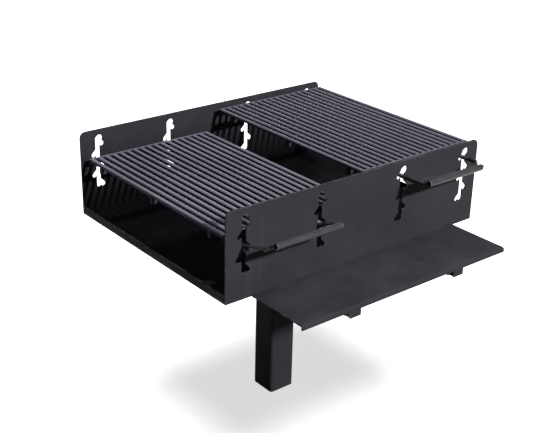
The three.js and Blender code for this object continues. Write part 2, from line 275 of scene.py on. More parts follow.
# ---- Small tools for selecting, copying and joining


def choose(*things):
    """Selects these objects alone. The first is the active one."""
    bpy.ops.object.select_all(action="DESELECT")
    for thing in things:
        thing.select_set(True)
    bpy.context.view_layer.objects.active = things[0]


def settle(piece):
    """Puts a new object's place into its mesh."""
    choose(piece)
    bpy.ops.object.transform_apply(location=True, rotation=True, scale=True)
    return piece


def moved_copy(piece, matrix):
    """A copy with a mesh of its own, moved by the matrix."""
    twin = piece.copy()
    twin.data = piece.data.copy()
    twin.data.transform(matrix)
    bpy.context.scene.collection.objects.link(twin)
    return twin


def join(pieces):
    """The pieces as one object, the first one."""
    choose(*pieces)
    bpy.ops.object.join()
    return pieces[0]


def drop(piece):
    """Removes a pattern piece that was only copied."""
    bpy.data.objects.remove(piece, do_unlink=True)


def middle_of(node):
    low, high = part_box(node)
    return (low + high) / 2


def ease_edges(piece, width):
    """Rounds the sharp edges, and marks the rounded faces for the finish to rub."""
    piece.data.materials.clear()
    piece.data.materials.append(None)
    piece.data.materials.append(None)
    modifier = piece.modifiers.new("Eased edges", "BEVEL")
    modifier.width = width
    modifier.segments = 2
    modifier.limit_method = "ANGLE"
    modifier.angle_limit = math.radians(EASED_FROM)
    modifier.use_clamp_overlap = False
    modifier.material = 1
    choose(piece)
    bpy.ops.object.modifier_apply(modifier=modifier.name)
    mesh = piece.data
    rub = mesh.attributes.new("edge_rub", "FLOAT", "FACE")
    rub.data.foreach_set("value", [float(face.material_index) for face in mesh.polygons])
    for face in mesh.polygons:
        face.material_index = 0
    mesh.materials.clear()
    return piece


def eased_copy(node, width):
    """A merged copy of a CAD node with its sharp edges eased. It stands for the node."""
    piece = bpy.data.objects.new(node + "_eased", frame["nodes"][node].data.copy())
    bpy.context.scene.collection.objects.link(piece)
    choose(piece)
    bpy.ops.mesh.customdata_custom_splitnormals_clear()
    bpy.ops.object.mode_set(mode="EDIT")
    bpy.ops.mesh.select_all(action="SELECT")
    bpy.ops.mesh.remove_doubles(threshold=MERGE_DISTANCE)
    bpy.ops.mesh.dissolve_limited(angle_limit=math.radians(FLAT_WITHIN))
    bpy.ops.object.mode_set(mode="OBJECT")
    ease_edges(piece, width)
    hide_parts(node)
    return piece


def dress(piece, body, slot, smoother_than=PLATE_SMOOTH):
    """Shades a finished piece, gives it its slot's finish and lets it ride on its body."""
    choose(piece)
    bpy.ops.object.shade_smooth_by_angle(angle=math.radians(smoother_than))
    even = piece.modifiers.new("Even shading", "WEIGHTED_NORMAL")
    even.keep_sharp = True
    bpy.ops.object.modifier_apply(modifier=even.name)
    piece.data.materials.clear()
    piece.data.materials.append(finish_of(slot))
    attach(piece, body)
    return piece


def cylinder(start, end, radius, sides, ends="NGON"):
    """A cylinder between two points."""
    run = end - start
    bpy.ops.object.select_all(action="DESELECT")
    bpy.ops.mesh.primitive_cylinder_add(
        vertices=sides,
        radius=radius,
        depth=run.length,
        end_fill_type=ends,
        location=(start + end) / 2,
        rotation=run.to_track_quat("Z", "Y").to_euler(),
    )
    return settle(bpy.context.active_object)


def round_bar(start, end, radius, sides, ease):
    """A bar between two points with eased ends."""
    return ease_edges(cylinder(start, end, radius, sides), ease)


def sleeve(start, end, bore, radius, sides, ease):
    """A round sleeve between two points: an open tube given its wall, with eased rims."""
    tube = cylinder(start, end, radius, sides, "NOTHING")
    wall = tube.modifiers.new("Wall", "SOLIDIFY")
    wall.thickness = radius - bore
    wall.offset = -1
    bpy.ops.object.modifier_apply(modifier=wall.name)
    return ease_edges(tube, ease)


def eased_block(low, high, ease):
    """A flat bar between two corners with eased edges."""
    bpy.ops.object.select_all(action="DESELECT")
    bpy.ops.mesh.primitive_cube_add(size=1, location=(low + high) / 2, scale=high - low)
    return ease_edges(settle(bpy.context.active_object), ease)


def ripple_pattern():
    """One round ripple of a weld, of unit radius, to be copied along the beads."""
    bpy.ops.object.select_all(action="DESELECT")
    bpy.ops.mesh.primitive_ico_sphere_add(subdivisions=2, radius=1)
    return bpy.context.active_object


def ripple(pattern, place, along, radius, length):
    """A copy of the ripple at its place, turned along its bead."""
    turn = along.to_track_quat("X", "Z").to_matrix().to_4x4()
    size = Matrix.Diagonal((length, radius, radius, 1))
    return moved_copy(pattern, Matrix.Translation(place) @ turn @ size)


def weld(pattern, start, end, radius):
    """The ripples of one bead between two points."""
    sizes = bpy.context.scene.grill_sizes
    run = end - start
    count = max(1, round(run.length / sizes.weld_pitch))
    ripples = []
    for i in range(count + 1):
        swell = radius * (1 + 0.08 * math.sin(2.4 * i))
        ripples.append(ripple(pattern, start + run * (i / count), run, swell, sizes.weld_pitch))
    return ripples


def ring_weld(pattern, centre, radius, count, share):
    """The ripples of a bead in a ring round a rod that runs along Y."""
    sizes = bpy.context.scene.grill_sizes
    made = []
    for i in range(count):
        angle = 2 * math.pi * i / count
        out = Vector((math.cos(angle), 0, math.sin(angle)))
        along = Vector((-math.sin(angle), 0, math.cos(angle)))
        place = centre + out * radius
        made.append(ripple(pattern, place, along, sizes.weld_radius * share, sizes.weld_pitch))
    return made


def stitches(pattern, start, end, count, radius):
    """Stitch welds spread evenly over a seam."""
    run = end - start
    half = run.normalized() * bpy.context.scene.grill_sizes.weld_run / 2
    made = []
    for i in range(count):
        centre = start + run * ((i + 0.5) / count)
        made += weld(pattern, centre - half, centre + half, radius)
    return made


# ---- Finishes


def put(tree, kind, inputs=None, **settings):
    """Adds a node. Its inputs are values, or sockets to link from."""
    node = tree.nodes.new(kind)
    for name, value in settings.items():
        setattr(node, name, value)
    for name, value in (inputs or {}).items():
        if isinstance(value, bpy.types.NodeSocket):
            tree.links.new(value, node.inputs[name])
        else:
            node.inputs[name].default_value = value
    return node


def new_group(name, inputs, outputs):
    """An empty node group with its sockets, and its two end nodes."""
    group = bpy.data.node_groups.new(name, "ShaderNodeTree")
    for label, value in inputs.items():
        socket = group.interface.new_socket(label, in_out="INPUT", socket_type="NodeSocketFloat")
        socket.default_value = value
    for label in outputs:
        group.interface.new_socket(label, in_out="OUTPUT", socket_type="NodeSocketFloat")
    return group, group.nodes.new("NodeGroupInput"), group.nodes.new("NodeGroupOutput")


def noise(tree, vector, scale, detail=4.0, roughness=0.55):
    values = {"Vector": vector, "Scale": scale, "Detail": detail, "Roughness": roughness}
    return put(tree, "ShaderNodeTexNoise", values).outputs["Fac"]


def between(tree, value, low, high, out_low=0.0, out_high=1.0):
    """Spreads a value between two levels, smoothly."""
    values = {"Value": value, "From Min": low, "From Max": high, "To Min": out_low, "To Max": out_high}
    return put(tree, "ShaderNodeMapRange", values, interpolation_type="SMOOTHSTEP").outputs["Result"]


def times(tree, first, second):
    node = put(tree, "ShaderNodeMath", operation="MULTIPLY")
    for socket, value in zip(node.inputs, (first, second)):
        if isinstance(value, bpy.types.NodeSocket):
            tree.links.new(value, socket)
        else:
            socket.default_value = value
    return node.outputs["Value"]


def plus(tree, first, second):
    node = put(tree, "ShaderNodeMath", operation="ADD", use_clamp=True)
    tree.links.new(first, node.inputs[0])
    tree.links.new(second, node.inputs[1])
    return node.outputs["Value"]


def object_place(tree):
    return put(tree, "ShaderNodeTexCoord").outputs["Object"]


def clouds_group():
    """Soft large clouds and fine specks, for uneven colour and gloss."""
    group, entry, out = new_group("Clouds", {"Scale": 6.0, "Specks": 0.3}, ["Mask"])
    place = object_place(group)
    large = between(group, noise(group, place, entry.outputs["Scale"], 6.0), 0.35, 0.68)
    fine = between(group, noise(group, place, 420.0, 3.0), 0.4, 0.65)
    parts = {"Factor": entry.outputs["Specks"], "A": large, "B": fine}
    mixed = put(group, "ShaderNodeMix", parts, data_type="FLOAT")
    group.links.new(mixed.outputs["Result"], out.inputs["Mask"])
    return group


def grain_group():
    """The fine orange peel of a sprayed coat, with slow waves in the plate."""
    group, entry, out = new_group("Coat grain", {"Grain": 700.0, "Waves": 18.0}, ["Height"])
    place = object_place(group)
    fine = noise(group, place, entry.outputs["Grain"], 2.0)
    slow = times(group, noise(group, place, entry.outputs["Waves"], 2.0), 2.0)
    node = put(group, "ShaderNodeMath", operation="ADD")
    group.links.new(fine, node.inputs[0])
    group.links.new(slow, node.inputs[1])
    group.links.new(node.outputs["Value"], out.inputs["Height"])
    return group


def rub_group():
    """Where eased edges have lost their paint."""
    group, entry, out = new_group("Rubbed edges", {"Amount": 0.5, "Scale": 60.0}, ["Mask"])
    place = object_place(group)
    edge = put(group, "ShaderNodeAttribute", attribute_name="edge_rub").outputs["Fac"]
    patches = between(group, noise(group, place, entry.outputs["Scale"], 6.0), 0.42, 0.6)
    bare = times(group, times(group, edge, patches), entry.outputs["Amount"])
    group.links.new(bare, out.inputs["Mask"])
    return group


def dust_and_top_light_group():
    """Dust and painted top light on faces that look up, in uneven drifts."""
    group, entry, out = new_group("Settled dust and top light", {"Amount": 0.4, "Scale": 9.0}, ["Mask"])
    place = object_place(group)
    normal = put(group, "ShaderNodeNewGeometry").outputs["Normal"]
    up = put(group, "ShaderNodeSeparateXYZ", {"Vector": normal}).outputs["Z"]
    level = between(group, up, 0.75, 1.0)
    drifts = between(group, noise(group, place, entry.outputs["Scale"], 8.0, 0.62), 0.35, 0.75)
    lying = times(group, times(group, level, drifts), entry.outputs["Amount"])
    group.links.new(lying, out.inputs["Mask"])
    return group


def streaks_group():
    """Thin upright streaks that rain leaves on standing faces."""
    group, entry, out = new_group("Rain streaks", {"Amount": 0.3, "Scale": 34.0}, ["Mask"])
    place = object_place(group)
    values = {"Vector": place, "Scale": (1.0, 1.0, 0.07)}
    stretched = put(group, "ShaderNodeMapping", values).outputs["Vector"]
    lines = between(group, noise(group, stretched, entry.outputs["Scale"], 4.0), 0.5, 0.72)
    broken = between(group, noise(group, place, 5.0, 3.0), 0.42, 0.62)
    normal = put(group, "ShaderNodeNewGeometry").outputs["Normal"]
    up = put(group, "ShaderNodeSeparateXYZ", {"Vector": normal}).outputs["Z"]
    size = put(group, "ShaderNodeMath", {0: up}, operation="ABSOLUTE").outputs["Value"]
    standing = between(group, size, 0.1, 0.4, 1.0, 0.0)
    shown = times(group, times(group, lines, broken), times(group, standing, entry.outputs["Amount"]))
    group.links.new(shown, out.inputs["Mask"])
    return group


def soot_and_shade_group():
    """Soot and painted shade on the faces inside the firebox, thinner towards the walls' tops."""
    sockets = {"Amount": 0.9, "Half length": 0.4555, "Half depth": 0.354, "Floor": 0.586, "Top": 0.83}
    group, entry, out = new_group("Soot and shade", sockets, ["Mask"])
    place = object_place(group)
    parts = put(group, "ShaderNodeSeparateXYZ", {"Vector": place}).outputs
    mask = entry.outputs["Amount"]
    for axis, limit in (("X", "Half length"), ("Y", "Half depth")):
        size = put(group, "ShaderNodeMath", {0: parts[axis]}, operation="ABSOLUTE").outputs["Value"]
        within = put(group, "ShaderNodeMath", {0: size, 1: entry.outputs[limit]}, operation="LESS_THAN")
        mask = times(group, mask, within.outputs["Value"])
    heights = {0: parts["Z"], 1: entry.outputs["Floor"]}
    above = put(group, "ShaderNodeMath", heights, operation="GREATER_THAN")
    mask = times(group, mask, above.outputs["Value"])
    height = between(group, parts["Z"], entry.outputs["Floor"], entry.outputs["Top"], 1.0, 0.0)
    patches = between(group, noise(group, place, 14.0, 6.0), 0.3, 0.7, 0.9, 1.0)
    group.links.new(times(group, mask, times(group, height, patches)), out.inputs["Mask"])
    return group


def underside_soot_and_shade_group():
    """Faces that look sideways or down, darkened by soot from the fire below and by painted shade."""
    group, entry, out = new_group("Underside soot and shade", {"Amount": 0.8}, ["Mask"])
    normal = put(group, "ShaderNodeNewGeometry").outputs["Normal"]
    up = put(group, "ShaderNodeSeparateXYZ", {"Vector": normal}).outputs["Z"]
    down = between(group, up, 0.1, 0.7, 1.0, 0.0)
    group.links.new(times(group, down, entry.outputs["Amount"]), out.inputs["Mask"])
    return group


def use_group(tree, group, **values):
    """Places a group in a material with its own values, and gives its output."""
    node = put(tree, "ShaderNodeGroup", node_tree=group)
    for name, value in values.items():
        node.inputs[name].default_value = value
    return node.outputs[0]


def tint(tree, mask, below, above):
    """Mixes two colours by a mask."""
    node = put(tree, "ShaderNodeMix", {"Factor": mask}, data_type="RGBA")
    for socket, value in zip((node.inputs[6], node.inputs[7]), (below, above)):
        if isinstance(value, bpy.types.NodeSocket):
            tree.links.new(value, socket)
        else:
            socket.default_value = (*value, 1.0)
    return node.outputs[2]


def new_material(name):
    """A material with its tree, emptied but for a Principled shader and the output."""
    material = bpy.data.materials.new(name)
    material.use_nodes = True
    return material, material.node_tree, material.node_tree.nodes["Principled BSDF"]


def bumped(tree, shader, height, strength, distance):
    values = {"Height": height, "Strength": strength, "Distance": distance}
    tree.links.new(put(tree, "ShaderNodeBump", values).outputs["Normal"], shader.inputs["Normal"])


def painted_steel(groups, colours):
    """Satin black paint with clouds, grain, dust and painted top light, streaks, rubbed edges, and soot
    and painted shade inside the firebox.
    """
    material, tree, shader = new_material("Painted steel")
    clouds = use_group(tree, groups["clouds"], Scale=7.0, Specks=0.35)
    rubbed = use_group(tree, groups["rub"], Amount=0.55, Scale=45.0)
    # Faces that look up are tinted lighter: settled dust and painted top light
    dust_and_top_light = use_group(tree, groups["dust_and_top_light"], Amount=0.42, Scale=9.0)
    streaks = use_group(tree, groups["streaks"], Amount=0.16, Scale=34.0)
    coat = tint(tree, clouds, colours.paint, colours.paint_light)
    dusty_and_top_lit = tint(tree, plus(tree, dust_and_top_light, streaks), coat, colours.dust_and_top_light)
    # Inside the firebox the paint is darkened, most near the floor: soot and painted shade
    soot_and_shade = use_group(tree, groups["soot_and_shade"], Amount=0.95)
    worn = tint(tree, rubbed, dusty_and_top_lit, colours.rubbed)
    tree.links.new(tint(tree, soot_and_shade, worn, colours.soot_and_shade), shader.inputs["Base Color"])
    gloss = between(tree, clouds, 0.0, 1.0, 0.62, 0.74)
    tree.links.new(plus(tree, gloss, times(tree, soot_and_shade, 0.3)), shader.inputs["Roughness"])
    bare = times(tree, rubbed, between(tree, soot_and_shade, 0.0, 0.5, 1.0, 0.0))
    tree.links.new(bare, shader.inputs["Metallic"])
    shader.inputs["Specular IOR Level"].default_value = 0.025
    bumped(tree, shader, use_group(tree, groups["grain"], Grain=700.0, Waves=16.0), 0.35, 0.0004)
    return material


def grate_steel(groups, colours):
    """Bare steel, blued by heat, lighter on top from rubbing and painted top light, paler on the left
    grate, and darker on faces that look sideways or down from soot and painted shade.
    """
    material, tree, shader = new_material("Grate steel")
    clouds = use_group(tree, groups["clouds"], Scale=16.0, Specks=0.4)
    drifts = use_group(tree, groups["clouds"], Scale=5.0, Specks=0.1)
    # Faces that look up are tinted lighter: rubbed tops and painted top light
    worn = use_group(tree, groups["dust_and_top_light"], Amount=0.45, Scale=30.0)
    steel = tint(tree, clouds, colours.grate_dark, colours.grate_light)
    # The left grate, x below 0, is tinted paler in uneven drifts
    across = put(tree, "ShaderNodeSeparateXYZ", {"Vector": object_place(tree)}).outputs["X"]
    on_left = between(tree, across, -0.01, 0.01, 0.9, 0.1)
    paler_on_left = times(tree, between(tree, drifts, 0.0, 1.0, 0.6, 1.0), on_left)
    left_paled = tint(tree, paler_on_left, steel, colours.left_grate_pale)
    # Faces that look sideways or down are darkened: soot and painted shade
    under_soot_and_shade = use_group(tree, groups["underside_soot_and_shade"], Amount=0.85)
    rubbed_and_lit_tops = tint(tree, worn, left_paled, colours.grate_light)
    tree.links.new(tint(tree, under_soot_and_shade, rubbed_and_lit_tops, colours.soot_and_shade), shader.inputs["Base Color"])
    gloss = between(tree, clouds, 0.0, 1.0, 0.5, 0.66)
    tree.links.new(plus(tree, gloss, times(tree, under_soot_and_shade, 0.25)), shader.inputs["Roughness"])
    shader.inputs["Metallic"].default_value = 0.05
    shader.inputs["Specular IOR Level"].default_value = 0.04
    bumped(tree, shader, use_group(tree, groups["grain"], Grain=420.0, Waves=60.0), 0.5, 0.0005)
    return material


def handle_steel(groups, colours):
    """Blackened rod, with a soft gloss from hands."""
    material, tree, shader = new_material("Handle steel")
    clouds = use_group(tree, groups["clouds"], Scale=30.0, Specks=0.4)
    rubbed = use_group(tree, groups["rub"], Amount=0.6, Scale=80.0)
    rod = tint(tree, times(tree, clouds, 0.5), colours.handle, colours.paint_light)
    tree.links.new(tint(tree, rubbed, rod, colours.rubbed), shader.inputs["Base Color"])
    tree.links.new(between(tree, clouds, 0.0, 1.0, 0.38, 0.54), shader.inputs["Roughness"])
    shader.inputs["Metallic"].default_value = 0.1
    shader.inputs["Specular IOR Level"].default_value = 0.2
    bumped(tree, shader, use_group(tree, groups["grain"], Grain=500.0, Waves=40.0), 0.3, 0.0003)
    return material


def grip_steel(groups, colours):
    """Worn sleeve with fine turning marks around it."""
    material, tree, shader = new_material("Grip steel")
    clouds = use_group(tree, groups["clouds"], Scale=40.0, Specks=0.5)
    rubbed = use_group(tree, groups["rub"], Amount=0.8, Scale=90.0)
    sleeve_colour = tint(tree, clouds, colours.grip, colours.paint_light)
    tree.links.new(tint(tree, rubbed, sleeve_colour, colours.rubbed), shader.inputs["Base Color"])
    tree.links.new(between(tree, clouds, 0.0, 1.0, 0.36, 0.52), shader.inputs["Roughness"])
    shader.inputs["Metallic"].default_value = 0.3
    shader.inputs["Specular IOR Level"].default_value = 0.2
    bumped(tree, shader, use_group(tree, groups["grain"], Grain=900.0, Waves=120.0), 0.25, 0.0002)
    return material


def bolt_steel(groups, colours):
    """Black bolts and nuts, with bright corners where the spanner went."""
    material, tree, shader = new_material("Black bolt steel")
    clouds = use_group(tree, groups["clouds"], Scale=60.0, Specks=0.5)
    rubbed = use_group(tree, groups["rub"], Amount=0.7, Scale=160.0)
    # Faces that look up are tinted lighter: dust and painted top light
    dust_and_top_light = use_group(tree, groups["dust_and_top_light"], Amount=0.3, Scale=40.0)
    black = tint(tree, times(tree, clouds, 0.4), colours.bolt, colours.paint_light)
    dusty_and_top_lit = tint(tree, dust_and_top_light, black, colours.dust_and_top_light)
    tree.links.new(tint(tree, rubbed, dusty_and_top_lit, colours.rubbed), shader.inputs["Base Color"])
    tree.links.new(between(tree, clouds, 0.0, 1.0, 0.42, 0.56), shader.inputs["Roughness"])
    shader.inputs["Metallic"].default_value = 0.25
    shader.inputs["Specular IOR Level"].default_value = 0.15
    bumped(tree, shader, use_group(tree, groups["grain"], Grain=900.0, Waves=200.0), 0.2, 0.0002)
    return material


FINISHES = {
    "painted_steel": painted_steel,
    "grate_steel": grate_steel,
    "handle_steel": handle_steel,
    "grip_steel": grip_steel,
    "black_bolt_steel": bolt_steel,
}
MADE = {}


def finish_of(slot):
    """The material of a slot, made with all the others when it is first asked for."""
    if not MADE:
        groups = {
            "clouds": clouds_group(),
            "grain": grain_group(),
            "rub": rub_group(),
            "dust_and_top_light": dust_and_top_light_group(),
            "streaks": streaks_group(),
            "soot_and_shade": soot_and_shade_group(),
            "underside_soot_and_shade": underside_soot_and_shade_group(),
        }
        colours = bpy.context.scene.grill_finishes
        for name, maker in FINISHES.items():
            MADE[name] = maker(groups, colours)
    return MADE[slot]


# ---- The pieces


class GRILL_OT_firebox(bpy.types.Operator):
    """Walls, floor plate and end lips, with eased edges and stitch welds."""

    bl_idname = "grill.firebox"
    bl_label = "Firebox"

    def execute(self, context):
        sizes = context.scene.grill_sizes
        for node in ("front_wall", "back_wall", "floor_plate", "left_end_lip", "right_end_lip"):
            piece = eased_copy(node, sizes.edge_ease)
            dress(piece, "frame", "painted_steel")
        low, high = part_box("floor_plate")
        pattern = ripple_pattern()
        radius = sizes.weld_radius
        seams = {}
        for name, y in (("front", low.y + radius / 2), ("back", high.y - radius / 2)):
            start = Vector((low.x + sizes.weld_run, y, high.z + radius / 3))
            end = Vector((high.x - sizes.weld_run, y, high.z + radius / 3))
            seams[name + "_floor_welds"] = stitches(pattern, start, end, FLOOR_STITCHES, radius)
        for side in SIDES:
            lip_low, lip_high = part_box(side + "_end_lip")
            x = lip_high.x if side == "left" else lip_low.x
            start = Vector((x, lip_low.y, lip_low.z))
            end = Vector((x, lip_high.y, lip_low.z))
            seams[side + "_lip_welds"] = stitches(pattern, start, end, SEAM_STITCHES, radius)
        for name, ripples in seams.items():
            bead = join(ripples)
            bead.name = name
            dress(bead, "frame", "painted_steel", WELD_SMOOTH)
        drop(pattern)
        return {"FINISHED"}


class GRILL_OT_post(bpy.types.Operator):
    """Post, base cap and top plate, with the weld around the post's top."""

    bl_idname = "grill.post"
    bl_label = "Post"

    def execute(self, context):
        sizes = context.scene.grill_sizes
        for node in ("post_tube", "post_base_cap", "post_top_plate"):
            piece = eased_copy(node, sizes.edge_ease)
            dress(piece, "frame", "painted_steel")
        low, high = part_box("post_tube")
        radius = sizes.weld_radius * POST_WELD_SHARE
        inset = sizes.weld_run / 5
        z = high.z - radius / 2
        pattern = ripple_pattern()
        ripples = []
        for sign in (-1, 1):
            x = high.x * sign
            y = high.y * sign
            for start, end in (
                (Vector((low.x + inset, y, z)), Vector((high.x - inset, y, z))),
                (Vector((x, low.y + inset, z)), Vector((x, high.y - inset, z))),
            ):
                ripples += weld(pattern, start, end, radius)
        bead = join(ripples)
        bead.name = "post_top_welds"
        dress(bead, "frame", "painted_steel", WELD_SMOOTH)
        drop(pattern)
        return {"FINISHED"}


class GRILL_OT_shelf(bpy.types.Operator):
    """Shelf plate, its two arms and their caps, with welds along the wall."""

    bl_idname = "grill.shelf"
    bl_label = "Shelf"

    def execute(self, context):
        sizes = context.scene.grill_sizes
        nodes = ["shelf_plate"]
        for side in SIDES:
            nodes += [side + "_shelf_arm", side + "_shelf_arm_cap"]
        for node in nodes:
            piece = eased_copy(node, sizes.edge_ease)
            dress(piece, "frame", "painted_steel")
        low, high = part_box("shelf_plate")
        pattern = ripple_pattern()
        radius = sizes.weld_radius * SHELF_WELD_SHARE
        wall_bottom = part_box("front_wall")[0].z
        start = Vector((low.x, high.y, wall_bottom))
        end = Vector((high.x, high.y, wall_bottom))
        bead = join(stitches(pattern, start, end, SEAM_STITCHES, radius))
        bead.name = "shelf_seam_welds"
        dress(bead, "frame", "painted_steel", WELD_SMOOTH)
        drop(pattern)
        return {"FINISHED"}


class GRILL_OT_fasteners(bpy.types.Operator):
    """Domed bolts, each modelled in its node's place, and the nuts and studs with eased edges."""

    bl_idname = "grill.fasteners"
    bl_label = "Fasteners"

    def execute(self, context):
        nodes = frame["nodes"]
        for node in sorted(name for name in nodes if name.endswith(("_nut", "_stud"))):
            piece = eased_copy(node, NUT_EASE)
            dress(piece, "frame", "black_bolt_steel")
        for node in sorted(name for name in nodes if name.endswith("_bolt")):
            piece = self.domed_bolt(node)
            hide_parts(node)
            dress(piece, "frame", "black_bolt_steel")
        return {"FINISHED"}

    def domed_bolt(self, node):
        """A bolt in its CAD node's place: a rim, a dome raised from it, and a shank below."""
        low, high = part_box(node)
        centre = (low + high) / 2
        radius = max(high.x - low.x, high.y - low.y) / 2
        seat = high.z - BOLT_HEAD
        foot = Vector((centre.x, centre.y, seat))
        piece = cylinder(foot, foot + Z_AXIS * BOLT_RIM, radius, BOLT_SIDES)
        piece.name = node + "_domed"
        self.select_cap(piece, 1)
        for ring in range(1, DOME_RINGS + 1):
            before = math.pi / 2 * (ring - 1) / DOME_RINGS
            angle = math.pi / 2 * ring / DOME_RINGS
            rise = (BOLT_HEAD - BOLT_RIM) * (math.sin(angle) - math.sin(before))
            shrink = max(math.cos(angle), DOME_TOP_SHARE) / math.cos(before)
            bpy.ops.mesh.extrude_region_move(TRANSFORM_OT_translate={"value": (0, 0, rise)})
            bpy.ops.transform.resize(
                value=(shrink, shrink, 1), center_override=(centre.x, centre.y, high.z)
            )
        bpy.ops.object.mode_set(mode="OBJECT")
        self.select_cap(piece, -1)
        bpy.ops.mesh.inset(thickness=radius - BOLT_SHANK_RADIUS)
        bpy.ops.mesh.extrude_region_move(TRANSFORM_OT_translate={"value": (0, 0, low.z - seat)})
        bpy.ops.object.mode_set(mode="OBJECT")
        return ease_edges(piece, BOLT_EASE)

    def select_cap(self, piece, sign):
        """Enters edit mode with only the outermost face that looks up or down selected."""
        choose(piece)
        bpy.ops.object.mode_set(mode="EDIT")
        bpy.ops.mesh.select_all(action="DESELECT")
        bpy.ops.mesh.select_mode(type="FACE")
        bpy.ops.object.mode_set(mode="OBJECT")
        caps = [face for face in piece.data.polygons if face.normal.z * sign > 0.9]
        cap = max(caps, key=lambda face: face.center.z * sign)
        cap.select = True
        bpy.ops.object.mode_set(mode="EDIT")


class GRILL_OT_grates(bpy.types.Operator):
    """The two welded grates: round bars on cross bars between end strips."""

    bl_idname = "grill.grates"
    bl_label = "Grates"

    def execute(self, context):
        for side in SIDES:
            grate = self.welded_grate(side, context.scene.grill_sizes)
            grate.name = side + "_welded_grate"
            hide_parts(side + "_grate")
            dress(grate, side + "_grate_set", "grate_steel")
        return {"FINISHED"}

    def welded_grate(self, side, sizes):
        low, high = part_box(side + "_grate")
        radius = sizes.bar_diameter / 2
        ease = sizes.edge_ease
        bar_z = high.z - radius
        cross_top = low.z + sizes.cross_height
        end = sizes.strip_thickness / 2
        first = Vector((low.x + radius, low.y + end, bar_z))
        bar = round_bar(first, Vector((first.x, high.y - end, bar_z)), radius, sizes.bar_sides, ease)
        pitch = (high.x - low.x - sizes.bar_diameter) / (sizes.bar_count - 1)
        steps = [i * pitch for i in range(sizes.bar_count)]
        pieces = [bar] + [moved_copy(bar, Matrix.Translation(X_AXIS * step)) for step in steps[1:]]
        middle = (low.y + high.y) / 2
        reach = (high.y - low.y) / 2 - sizes.cross_inset
        half = Y_AXIS * sizes.cross_width / 2
        cross_ys = [middle - reach, middle, middle + reach]
        for y in cross_ys:
            pieces.append(
                eased_block(
                    Vector((low.x, y, low.z)) - half, Vector((high.x, y, cross_top)) + half, ease
                )
            )
        strip_top = high.z - sizes.strip_drop
        for y in (low.y, high.y - sizes.strip_thickness):
            pieces.append(
                eased_block(
                    Vector((low.x, y, strip_top - sizes.strip_height)),
                    Vector((high.x, y + sizes.strip_thickness, strip_top)),
                    ease,
                )
            )
        return join(pieces + self.welds(side, sizes, steps, cross_ys))

    def welds(self, side, sizes, steps, cross_ys):
        """Spots beside each bar on each cross bar and strip, and beads over the lifting rods."""
        low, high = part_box(side + "_grate")
        radius = sizes.bar_diameter / 2
        spot = sizes.weld_radius * SPOT_WELD_SHARE
        pattern = ripple_pattern()
        made = []
        inner_ys = [low.y + sizes.strip_thickness, high.y - sizes.strip_thickness]
        for step in steps:
            x = low.x + radius + step
            for y in cross_ys:
                for sign in (-1, 1):
                    place = Vector((x + sign * radius * 0.8, y, low.z + sizes.cross_height))
                    made.append(ripple(pattern, place, Y_AXIS, spot, spot * 1.3))
            for y in inner_ys:
                place = Vector((x, y, high.z - 2 * radius + spot / 2))
                made.append(ripple(pattern, place, X_AXIS, spot, spot * 1.4))
        for place in ("outer", "inner"):
            rod = middle_of(side + "_" + place + "_lift_rod")
            for y in cross_ys:
                for sign in (-1, 1):
                    x = rod.x + sign * radius * 0.7
                    start = Vector((x, y - sizes.cross_width / 3, low.z - spot / 3))
                    made += weld(pattern, start, start + Y_AXIS * sizes.cross_width * 2 / 3, spot)
        drop(pattern)
        return made


class GRILL_OT_rods(bpy.types.Operator):
    """Lifting rods that run through both walls, with a collar at the back of each."""

    bl_idname = "grill.rods"
    bl_label = "Lifting Rods"

    def execute(self, context):
        for side in SIDES:
            for place in ("outer", "inner"):
                name = side + "_" + place
                low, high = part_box(name + "_lift_rod")
                centre = (low + high) / 2
                radius = (high.z - low.z) / 2
                start = Vector((centre.x, low.y, centre.z))
                end = Vector((centre.x, high.y, centre.z))
                rod = round_bar(start, end, radius, ROD_SIDES, ROD_EASE)
                rod.name = name + "_round_rod"
                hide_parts(name + "_lift_rod")
                dress(rod, side + "_grate_set", "grate_steel")
                low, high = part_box(name + "_rod_collar")
                start = Vector((centre.x, low.y, centre.z))
                end = Vector((centre.x, high.y, centre.z))
                outer = (high.z - low.z) / 2
                collar = sleeve(start, end, radius + BORE_GAP, outer, COLLAR_SIDES, COLLAR_EASE)
                pattern = ripple_pattern()
                ring = ring_weld(pattern, end, radius, COLLAR_RIPPLES, COLLAR_WELD_SHARE)
                drop(pattern)
                collar = join([collar] + ring)
                collar.name = name + "_welded_collar"
                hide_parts(name + "_rod_collar")
                dress(collar, side + "_grate_set", "grate_steel")
        return {"FINISHED"}


